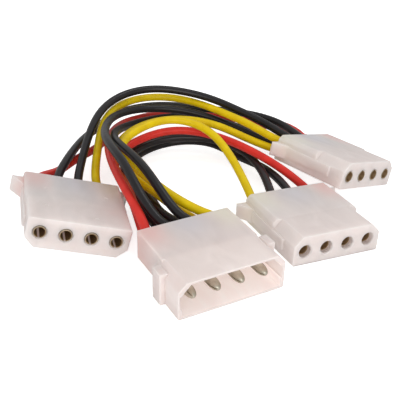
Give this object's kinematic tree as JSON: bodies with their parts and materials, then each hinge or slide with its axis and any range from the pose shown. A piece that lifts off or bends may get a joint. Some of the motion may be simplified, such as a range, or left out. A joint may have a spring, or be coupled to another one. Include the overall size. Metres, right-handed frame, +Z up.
{
  "type": "drive power splitter cable",
  "caption": "Splitter cable: a shrouded pin connector joined by red, black and yellow wires to milky socket connectors, for feeding several drives from one power lead.",
  "frame": {"origin": "on the surface that the connectors stand on, under the middle of the box around all the connectors, without the wires", "axes": "+Z up from the surface; +Y from the viewer's side, where the pin connector's mouth is, to the wires' loop; +X to the viewer's right"},
  "size_m": [0.089, 0.1018, 0.0162],
  "materials": {
    "natural_nylon": "milky natural nylon, satin",
    "tinned_brass": "tin plated, dull",
    "black_insulation": "soft gloss",
    "red_insulation": "soft gloss",
    "yellow_insulation": "soft gloss"
  },
  "bodies": {
    "root": {"pin_housing_front": "natural_nylon", "socket_housing_left": "natural_nylon", "socket_housing_right": "natural_nylon", "socket_housing_far": "natural_nylon", "pin_front_1": "tinned_brass", "pin_front_2": "tinned_brass", "pin_front_3": "tinned_brass", "pin_front_4": "tinned_brass", "socket_left_1": "tinned_brass", "socket_left_2": "tinned_brass", "socket_left_3": "tinned_brass", "socket_left_4": "tinned_brass", "socket_right_1": "tinned_brass", "socket_right_2": "tinned_brass", "socket_right_3": "tinned_brass", "socket_right_4": "tinned_brass", "socket_far_1": "tinned_brass", "socket_far_2": "tinned_brass", "socket_far_3": "tinned_brass", "socket_far_4": "tinned_brass", "wire_black_outer": "black_insulation", "wire_black_inner": "black_insulation", "wire_black_far_a": "black_insulation", "wire_black_far_b": "black_insulation", "wire_black_near_a": "black_insulation", "wire_black_near_b": "black_insulation", "wire_red_outer": "red_insulation", "wire_red_far": "red_insulation", "wire_red_near": "red_insulation", "wire_yellow_outer": "yellow_insulation", "wire_yellow_far": "yellow_insulation", "wire_yellow_near": "yellow_insulation"}
  },
  "joints": []
}
